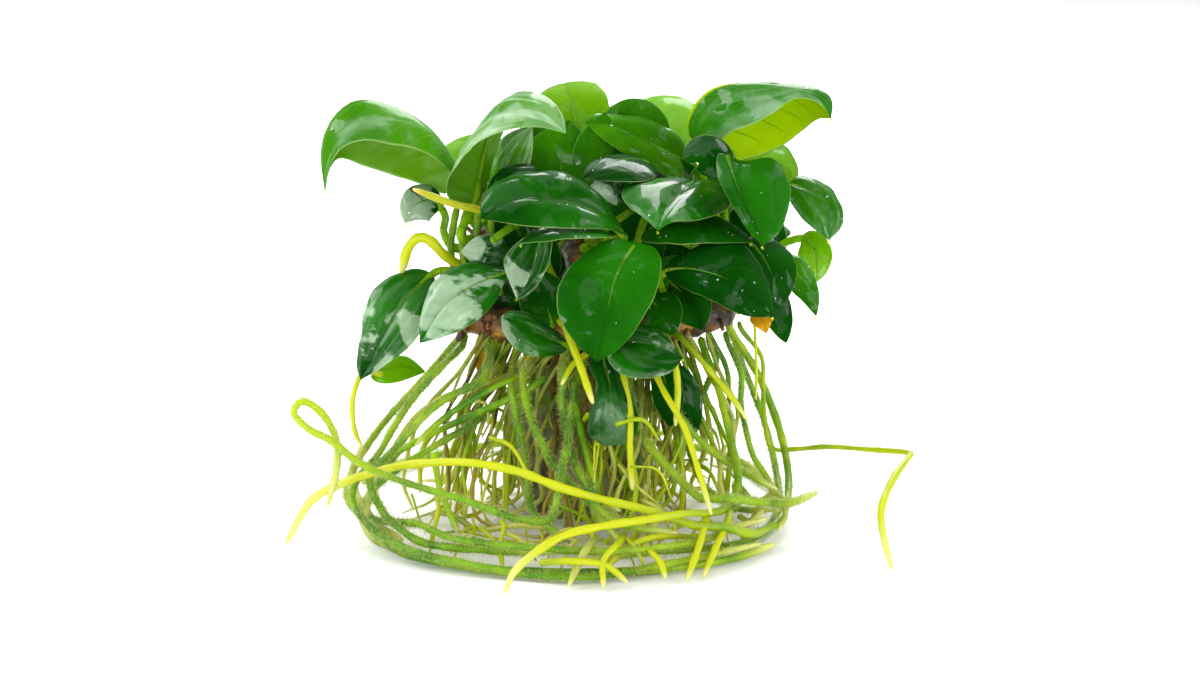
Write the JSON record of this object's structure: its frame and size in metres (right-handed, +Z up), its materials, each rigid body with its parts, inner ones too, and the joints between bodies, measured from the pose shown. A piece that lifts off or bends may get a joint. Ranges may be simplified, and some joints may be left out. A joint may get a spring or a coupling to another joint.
{
  "type": "anubias on stone",
  "caption": "Low water plant with broad glossy leaves on a creeping stem, rooted over a small stone, its bare roots coiled in a ring round the foot.",
  "frame": {"origin": "middle of the stone's flat underside, on the surface that it stands on", "axes": "+Z up, +X to the right and -Y to the front as the plant is seen in the picture"},
  "size_m": [0.153, 0.1292, 0.1094],
  "materials": {
    "leaf_dark": "wet, waxy deep green leaf",
    "leaf_mid": "wet, waxy mid green leaf",
    "leaf_bright": "thin young yellow-green leaf",
    "leaf_pale": "backlit pale yellow-green leaf",
    "root_green": "wet green root with fine hairs",
    "root_yellow": "smooth wet yellow root",
    "rhizome": "brown creeping stem with leaf scars",
    "stone": "dark mottled wet stone"
  },
  "bodies": {
    "root": {"leaf_back_yellow": "leaf_bright", "leaf_middle_upright": "leaf_mid", "leaf_back_pale": "leaf_pale", "leaf_centre_under": "leaf_dark", "leaf_front_left_under": "leaf_dark", "leaf_folded": "leaf_dark", "leaf_left_small": "leaf_dark", "leaf_back_left_pale": "leaf_pale", "leaf_middle_dark": "leaf_dark", "leaf_right_hanging": "leaf_bright", "leaf_right_curled": "leaf_mid", "leaf_right_bright": "leaf_bright", "leaf_right_under": "leaf_dark", "leaf_rear_left": "leaf_dark", "leaf_rear_middle_left": "leaf_dark", "leaf_rear_middle": "leaf_mid", "leaf_rear_middle_right": "leaf_dark", "leaf_rear_right": "leaf_dark", "leaf_left_arch": "leaf_mid", "leaf_left_crest": "leaf_mid", "leaf_top_right": "leaf_mid", "leaf_top_middle": "leaf_mid", "leaf_right_front": "leaf_dark", "leaf_centre": "leaf_dark", "leaf_front_left_large": "leaf_dark", "leaf_front_hero": "leaf_dark", "leaf_front_right": "leaf_dark", "leaf_right_outer": "leaf_mid", "leaf_left_low": "leaf_dark", "leaf_left_middle": "leaf_dark", "leaf_left_inner": "leaf_dark", "leaf_front_small": "leaf_dark", "leaf_front_round": "leaf_dark", "leaf_front_hanging": "leaf_dark", "rhizome": "rhizome", "rhizome_branch_left": "rhizome", "rhizome_branch_middle": "rhizome", "rhizome_branch_right": "rhizome", "root_front_left": "root_green", "root_front_left_outer": "root_green", "root_front_middle": "root_green", "root_long_yellow": "root_yellow", "root_looped": "root_green", "root_ring_front": "root_green", "root_left": "root_green", "root_left_inner": "root_green", "root_ring_left": "root_green", "root_yellow_front": "root_yellow", "root_right_reaching": "root_yellow", "root_right_inner": "root_green", "root_right_outer": "root_green", "root_front_right_short": "root_yellow", "root_front_bright": "root_yellow", "root_front_hairy": "root_green", "root_right_diagonal": "root_green", "root_ring_right": "root_green", "root_rear_right": "root_green", "root_rear_left": "root_green", "stone": "stone"}
  },
  "joints": []
}
